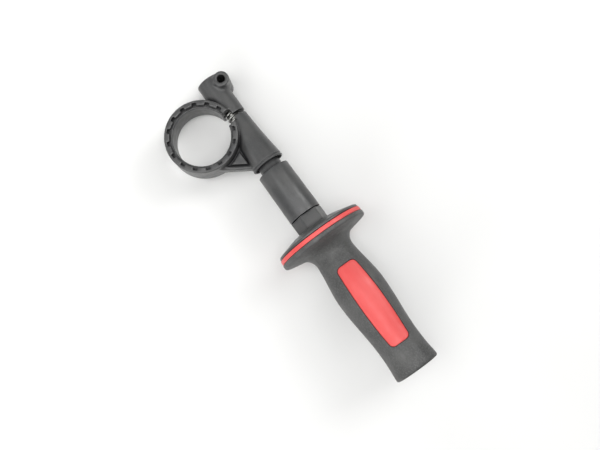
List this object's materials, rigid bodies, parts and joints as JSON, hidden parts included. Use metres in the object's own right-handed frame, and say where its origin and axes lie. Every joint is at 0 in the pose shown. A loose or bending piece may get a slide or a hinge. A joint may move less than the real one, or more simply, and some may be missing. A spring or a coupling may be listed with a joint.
{
  "type": "power tool side handle",
  "caption": "Side handle for a hand drill: a split clamping collar on a long bolt, a spacer sleeve and a guarded soft grip that turns to tighten it.",
  "frame": {"origin": "centre of the collar's bore, halfway up the ring", "axes": "+Z along the collar's axis towards its notched face, +X along the handle towards the grip, +Y from the collar's axis towards the handle's axis"},
  "size_m": [0.26, 0.0904, 0.0702],
  "materials": {
    "black_nylon": "glass-filled nylon, finely eroded satin black",
    "black_soft_grip": "matt soft-touch elastomer",
    "red_plastic": "satin light red plastic",
    "zinc_steel": "bright zinc plating"
  },
  "bodies": {
    "clamp": {"clamp_collar": "black_nylon", "clamp_bolt": "zinc_steel", "opening_spring": "zinc_steel"},
    "sleeve": {"spacer_sleeve": "black_nylon"},
    "grip": {"guard_disc": "black_nylon", "grip_core": "red_plastic", "thread_insert": "zinc_steel", "grip_cover": "black_soft_grip", "badge_inlay": "red_plastic"}
  },
  "joints": [
    {"name": "travel", "type": "slide", "parent": "clamp", "child": "sleeve", "axis": [1, 0, 0], "range_m": [0, 0.01]},
    {"name": "turn", "type": "hinge", "parent": "sleeve", "child": "grip", "pos_m": [0.1, 0.0281, 0], "axis": [1, 0, 0], "range_deg": [0, 2880]}
  ],
  "couplings": [
    {"joint": "travel", "follows": "turn", "m_per_rad": 0.00019894}
  ]
}
